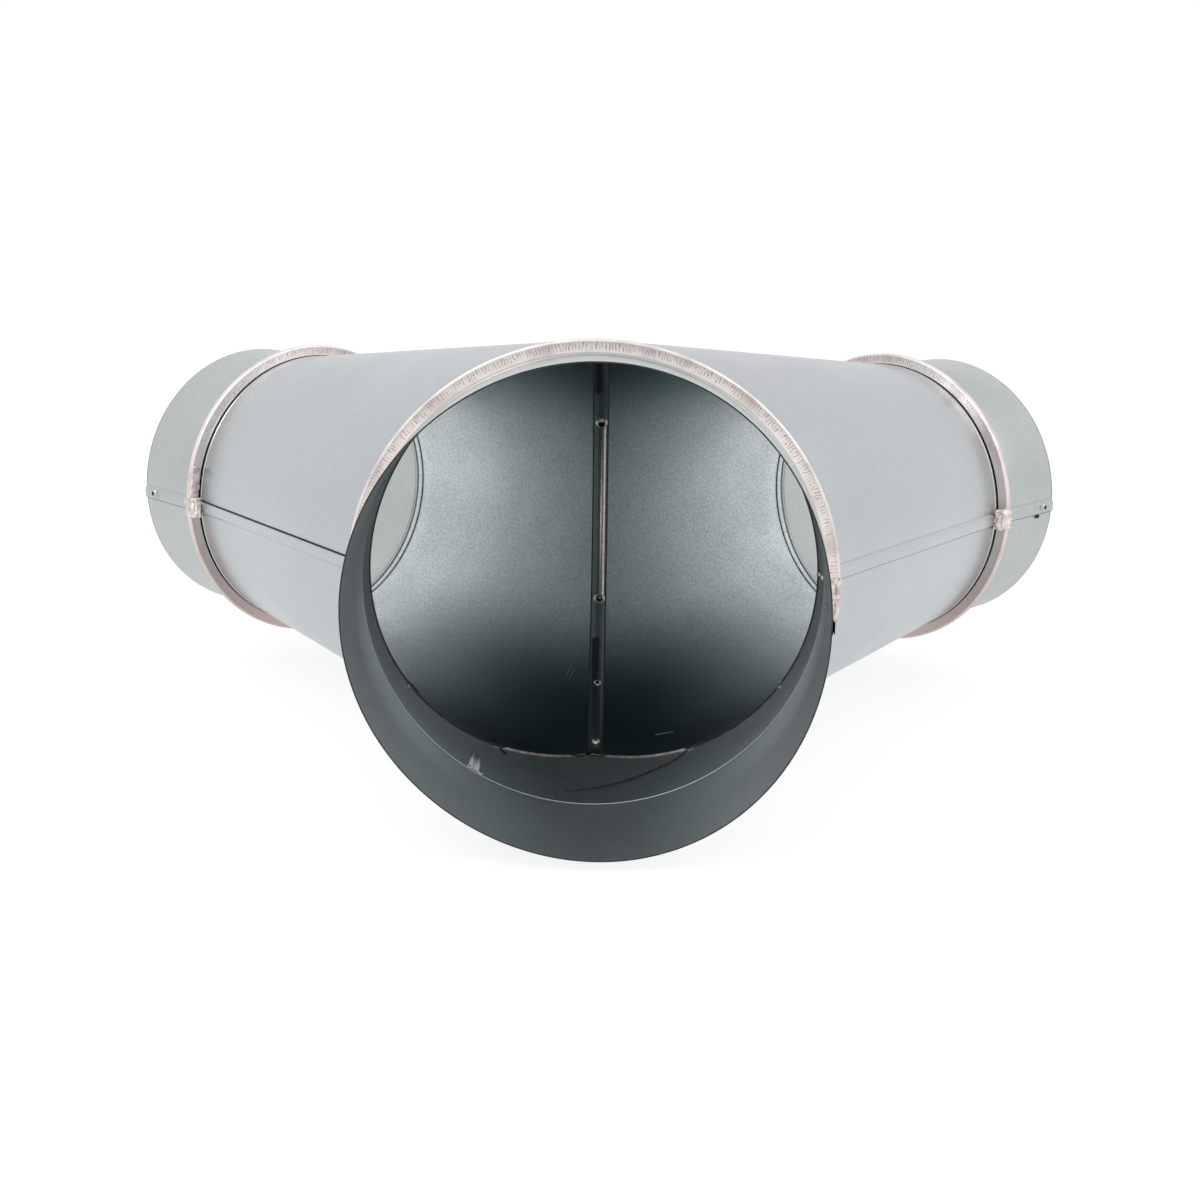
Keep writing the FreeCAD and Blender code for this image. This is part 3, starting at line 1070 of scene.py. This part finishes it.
# Lumps where a seam is pressed over a lock

LUMP_BLOCK = 1.7
LUMP_ROUNDNESS = 0.4
CRUSH_GRAIN, CRUSH_LAYERS = 0.0020, 3
CRUSH_SHARE, CRUSH_MIDDLE = 0.9, 0.55

# Lumps on the inlet seam: angle from the right upwards, rise above the collar, and size
INLET_LUMPS = (
    (1.5, 0.0046, (0.0030, 0.0030, 0.0044)),
    (-3.5, 0.0048, (0.0021, 0.0026, 0.0042)),
    (-8.5, 0.0050, (0.0018, 0.0024, 0.0046)),
    (-15, 0.0052, (0.0015, 0.0023, 0.0056)),
)

# Lump on each outlet seam: place outwards, along and up from the collar's end, and size
OUTLET_LUMP_SPOT = Vector((0.0036, SEAM_WIDTH * 0.75, -0.0002))
OUTLET_LUMP_SIZE = (0.0039, 0.0058, 0.0060)

# Crushed strip beside the lump on the left outlet seam, turned round the outlet's axis
LEFT_CRUSH_SPOT = Vector((0.0036, SEAM_WIDTH - 0.0008, 0))
LEFT_CRUSH_SIZE = (0.0028, 0.0014, 0.0100)
LEFT_CRUSH_TURN = math.radians(-9.5)


def seam_lump(name, matrix, size, cuts=9):
    """Crushed metal where the standing seam crosses a lock seam; size is outwards, along and up."""
    bpy.ops.object.select_all(action="DESELECT")
    bpy.ops.mesh.primitive_cube_add(size=LUMP_BLOCK)
    lump = named(name)
    edit()
    bpy.ops.mesh.subdivide(number_cuts=cuts)
    bpy.ops.transform.tosphere(value=LUMP_ROUNDNESS)
    bpy.ops.transform.resize(value=size, center_override=(0, 0, 0))
    leave_edit()
    crush = bpy.data.textures.new(name + "_crush", "CLOUDS")
    crush.noise_scale = CRUSH_GRAIN
    crush.noise_depth = CRUSH_LAYERS
    bpy.ops.object.modifier_add(type="DISPLACE")
    push = lump.modifiers[-1]
    push.texture = crush
    push.strength = CRUSH_SHARE * min(size)
    push.mid_level = CRUSH_MIDDLE
    bpy.ops.object.modifier_apply(modifier=push.name)
    bpy.data.textures.remove(crush)
    lump.data.materials.append(RUBBED_ZINC)
    settle(lump, matrix)
    finish(lump, angle=22)


def inlet_lump(number, angle, rise, size):
    """One lump on the inlet seam."""
    turn = Matrix.Rotation(math.radians(-angle), 4, "Y")
    centre = Vector((INLET_RADIUS + rise, INLET_LENGTH + SEAM_WIDTH / 3, 0))
    seam_lump("inlet_seam_lump_" + str(number), turn @ Matrix.Translation(centre), size)


def outlet_lump(side, word):
    """Lump on an outlet seam, on the side of its lock."""
    out, along, up = OUTLET_LUMP_SPOT
    spot = Vector((-side * (OUTLET_RADIUS + out), OUTLET_LENGTH + along, up))
    matrix = outlet_matrix(side) @ Matrix.Translation(spot)
    seam_lump(word + "_outlet_seam_lump", matrix, OUTLET_LUMP_SIZE)


def left_seam_crush():
    """Crushed strip on the left outlet seam."""
    spot = Vector((OUTLET_RADIUS, OUTLET_LENGTH, 0)) + LEFT_CRUSH_SPOT
    turn = Matrix.Rotation(LEFT_CRUSH_TURN, 4, "Y")
    matrix = outlet_matrix(LEFT) @ turn @ Matrix.Translation(spot)
    seam_lump("left_outlet_seam_crush", matrix, LEFT_CRUSH_SIZE, cuts=24)


for number, lump in enumerate(INLET_LUMPS, start=1):
    inlet_lump(number, *lump)
outlet_lump(LEFT, "left")
left_seam_crush()
outlet_lump(RIGHT, "right")


# Punched clinch marks

ROUND, THREE_CORNERED = 24, 3
CLINCH_SHEET = 0.12
# Share of a mark's size within which its pit is painted dark, as painted shade
CLINCH_PIT = 0.5

# A crater's rings from its edge inwards, as shares of its size: width and lift
CRATER_RINGS = ((0.2, 0.45), (0.2, 0.1), (0.16, -0.45), (0.16, -0.35))

# Clinches on the crotch fold: name, depth, height and size
FOLD_CLINCHES = (
    ("upper", 0.2275, 0.0485, 0.0030),
    ("lower", 0.2275, -0.0495, 0.0030),
    ("low", 0.1825, -0.0840, 0.0019),
    ("foot", 0.1320, -0.0985, 0.0018),
)
FOLD_MIDDLE, FOLD_FACE = 0.0015, 0.0016

# Marks near the outlets' rims: side, name, place (rise, depth, height), size, material and corners
RIM_MARKS = (
    (LEFT, "left_rim_clinch", (LOCK_RISE, 0.011, 0.0003), 0.0022, NECK_ZINC, ROUND),
    (LEFT, "left_rim_dent", (LOCK_RISE / 2, 0.0025, 0.0012), 0.0010, NECK_ZINC, ROUND),
    (RIGHT, "right_rim_clinch", (LOCK_RISE, 0.011, 0.0003), 0.0022, NECK_ZINC, ROUND),
    (RIGHT, "right_rim_punch", (0.0001, 0.015, -0.0046), 0.0019, DARK_EDGE_AND_SHADE, THREE_CORNERED),
)

# Punches inside the inlet: angle from the top towards the right, depth, size and material
INLET_PUNCHES = (
    (87.5, 0.0656, 0.0014, RUBBED_ZINC),
    (92.4, 0.0477, 0.0012, NECK_ZINC),
    (94.3, 0.0387, 0.0011, DARK_EDGE_AND_SHADE),
    (88, 0.0753, 0.0016, NECK_ZINC),
    (-150.2, 0.0590, 0.0015, SMEAR_ZINC),
    (-147.0, 0.0590, 0.0013, SMEAR_ZINC),
)
PUNCH_INSET = 0.0001


def clinch_mark(name, place, normal, size, material, corners=ROUND):
    """Small crater with a raised lip, round unless it has few corners."""
    bpy.ops.object.select_all(action="DESELECT")
    bpy.ops.mesh.primitive_circle_add(vertices=corners, radius=size, fill_type="NGON")
    mark = named(name)
    bpy.ops.object.mode_set(mode="EDIT")
    bpy.ops.mesh.select_mode(type="FACE")
    bpy.ops.mesh.select_all(action="SELECT")
    for width, lift in CRATER_RINGS:
        bpy.ops.mesh.inset(thickness=size * width)
        bpy.ops.transform.translate(value=(0, 0, size * lift))
    leave_edit()
    thicken(mark, size * CLINCH_SHEET, [material, DARK_EDGE_AND_SHADE])
    repaint(mark, 1, lambda face: math.hypot(face.center.x, face.center.y) < size * CLINCH_PIT)
    settle(mark, Matrix.Translation(place) @ normal.to_track_quat("Z", "Y").to_matrix().to_4x4())
    finish(mark, angle=50)


def fold_clinch(word, depth, height, size):
    """Clinch on the crotch fold."""
    inward = into_fitting(depth, height)
    spot = Vector((FOLD_MIDDLE, depth, height)) + inward * FOLD_FACE
    clinch_mark("crotch_clinch_" + word, spot, inward, size, RUBBED_ZINC)


def rim_mark(side, name, place, size, material, corners):
    """Mark on the outside of an outlet collar, near its lock."""
    rise, depth, height = place
    matrix = outlet_matrix(side)
    spot = matrix @ Vector((-side * (OUTLET_RADIUS + rise), depth, height))
    outwards = matrix.to_3x3() @ Vector((-side, 0, 0))
    clinch_mark(name, spot, outwards, size, material, corners)


def inside_point(angle, depth, inset=0.0):
    """A place inside the inlet, at an angle from the top towards the right, and the way it faces."""
    radius = (INLET_RADIUS if depth < INLET_LENGTH else NECK_RADIUS) - SHEET - inset
    out = Vector((math.sin(math.radians(angle)), 0, math.cos(math.radians(angle))))
    return out * radius + Vector((0, depth, 0)), -out


for clinch in FOLD_CLINCHES:
    fold_clinch(*clinch)
for mark in RIM_MARKS:
    rim_mark(*mark)
for number, (angle, depth, size, material) in enumerate(INLET_PUNCHES, start=1):
    spot, facing = inside_point(angle, depth, PUNCH_INSET)
    clinch_mark("inlet_punch_" + str(number), spot, facing, size, material)


# Lines of painted shade in the crease and snips, rub mark and scratches inside

# Lines of painted shade along the neck's crease and snips: name, width, and each point's angle from the
# top towards the right and depth
NECK_LINES = (
    ("neck_crease", 0.0006, (
        (152.6, 0.1015), (155.7, 0.0945), (162.4, 0.0905), (171.2, 0.0829), (178.1, 0.0783),
        (183, 0.0735), (187, 0.0710))),
    ("neck_nick", 0.0012, ((-153.2, 0.1030), (-154.2, 0.1000), (-156.0, 0.0965))),
    ("neck_side_nick", 0.0014, (
        (-121.4, 0.0858), (-122.6, 0.0866), (-124.2, 0.0884), (-126.4, 0.0896))),
    ("neck_foot_nick", 0.0014, (
        (176.0, 0.1185), (178.5, 0.1188), (181.5, 0.1188), (186.0, 0.1172))),
)

# Rub mark beside two punches: depths, angles from the top towards the right, and inset
RUB_DEPTHS = (0.0595, 0.0800)
RUB_START, RUB_END = -149.8, -146.8
RUB_INSET = 0.0002

# Scratches on the lower inside of the legs: side, and both ends across and in depth
SCRATCHES = (
    (LEFT, (-0.0135, 0.190), (-0.0105, 0.196)),
    (LEFT, (-0.0150, 0.192), (-0.0125, 0.200)),
    (RIGHT, (0.052, 0.172), (0.062, 0.176)),
    (RIGHT, (0.031, 0.140), (0.040, 0.142)),
    (RIGHT, (0.109, 0.288), (0.117, 0.296)),
)
SCRATCH_WIDTH = 0.0003


def drawn_line(name, points, width, material):
    """Thin line laid along a sheet, for scratches and for painted shade along creases and snips."""
    curve = bpy.data.curves.new(name, "CURVE")
    curve.dimensions = "3D"
    spline = curve.splines.new("NURBS")
    spline.points.add(len(points) - 1)
    for knot, point in zip(spline.points, points):
        knot.co = (*point, 1)
    spline.order_u = 3
    spline.use_endpoint_u = True
    curve.bevel_depth = width / 2
    curve.bevel_resolution = 2
    curve.use_fill_caps = True
    line = bpy.data.objects.new(name, curve)
    scene.collection.objects.link(line)
    only(line)
    bpy.ops.object.convert(target="MESH")
    line = bpy.context.object
    line.data.materials.append(material)
    finish(line, angle=60)


def turned_way(angle):
    """The way in which an angle from the top grows towards the right."""
    return Vector((math.cos(math.radians(angle)), 0, -math.sin(math.radians(angle))))


def rub_mark():
    """Pale mark rubbed into the neck."""
    path = [(NECK_RADIUS - SHEET - RUB_INSET, depth) for depth in RUB_DEPTHS]
    smear = rolled_sheet("neck_smear", path, SHEET_COLUMNS)
    trim(smear, Vector((0, 0, 0)), turned_way(RUB_START))
    trim(smear, Vector((0, 0, 0)), -turned_way(RUB_END))
    thicken(smear, FOIL, [SMEAR_ZINC])
    finish(smear)


def leg_floor(side, across, depth):
    """A place on the lower inside of a leg."""
    local = leg_matrix(side).inverted() @ Vector((across, depth, 0))
    radius = leg_radius(local.y, SHEET)
    return Vector((across, depth, -math.sqrt(radius ** 2 - local.x ** 2)))


for name, width, places in NECK_LINES:
    points = [inside_point(angle, depth)[0] for angle, depth in places]
    drawn_line(name, points, width, CREASE_SHADE)
rub_mark()
for number, (side, start, end) in enumerate(SCRATCHES, start=1):
    ends = [leg_floor(side, *start), leg_floor(side, *end)]
    drawn_line("leg_scratch_" + str(number), ends, SCRATCH_WIDTH, NECK_ZINC)


# Floor, light and camera

FLOOR_SIZE = 12
FLOOR_MIDDLE = (0, 0.2, CAD_BOX[0].z)
FLOOR_GLOW, FLOOR_GLOW_SHARE = 1.22, 0.65
SURROUND_LIGHT = 0.7

# Lamps: name, place, size and power
LAMPS = (("key_lamp", (-0.9, -0.9, 1.5), 0.9, 9), ("fill_lamp", (1.3, -0.4, 1.1), 1.1, 5))
LAMP_AIM = Vector((0, 0.15, 0))

CAMERA_PLACE = Vector((0.00760, -0.57887, 0.16146))
CAMERA_YAW, CAMERA_PITCH, CAMERA_ROLL = -0.0070, 0.2562, -0.0142
SENSOR = 36.0
FOCAL_PIXELS, IMAGE_PIXELS = 1522.03, 1200


def floor_finish():
    """White floor that keeps a faint shadow."""
    material, tree, shader, _ = new_material("studio_floor")
    connect(tree, shader, {"Base Color": FLOOR_WHITE, "Roughness": 0.9})
    share = product(tree, seen_plainly(tree), FLOOR_GLOW_SHARE)
    glow = add(tree, "ShaderNodeEmission", {"Color": WHITE, "Strength": FLOOR_GLOW}).outputs[0]
    mixed = add(tree, "ShaderNodeMixShader", {0: share, 1: shader.outputs[0], 2: glow}).outputs[0]
    connect(tree, tree.nodes["Material Output"], {"Surface": mixed})
    return material


def studio_floor():
    """Wide floor under the fitting."""
    bpy.ops.object.select_all(action="DESELECT")
    bpy.ops.mesh.primitive_plane_add(size=FLOOR_SIZE, location=FLOOR_MIDDLE)
    floor = named("studio_floor")
    floor.data.materials.append(floor_finish())


def studio_world():
    """White surroundings that light less than they show."""
    world = bpy.data.worlds.new("studio")
    scene.world = world
    world.use_nodes = True
    tree = world.node_tree
    strength = ramp(tree, seen_plainly(tree), 0, 1, SURROUND_LIGHT, 1.0)
    connect(tree, tree.nodes["Background"], {"Color": WHITE, "Strength": strength})


def soft_lamp(name, place, size, power):
    """Large area lamp that faces the fitting."""
    bpy.ops.object.select_all(action="DESELECT")
    bpy.ops.object.light_add(type="AREA", location=place)
    lamp = named(name)
    lamp.data.size = size
    lamp.data.energy = power
    lamp.rotation_mode = "QUATERNION"
    lamp.rotation_quaternion = (LAMP_AIM - Vector(place)).to_track_quat("-Z", "Y")


def studio_camera():
    """Camera in front of the inlet, a little above it."""
    lens = bpy.data.cameras.new("camera")
    lens.sensor_width = SENSOR
    lens.lens = SENSOR * FOCAL_PIXELS / IMAGE_PIXELS
    lens.clip_start = 0.01
    camera = bpy.data.objects.new("camera", lens)
    scene.collection.objects.link(camera)
    camera.matrix_world = (
        Matrix.Translation(CAMERA_PLACE)
        @ Matrix.Rotation(-CAMERA_YAW, 4, "Z")
        @ Matrix.Rotation(math.pi / 2 - CAMERA_PITCH, 4, "X")
        @ Matrix.Rotation(-CAMERA_ROLL, 4, "Z")
    )
    scene.camera = camera


studio_floor()
scene.view_settings.view_transform = "Standard"
studio_world()
for lamp in LAMPS:
    soft_lamp(*lamp)
studio_camera()
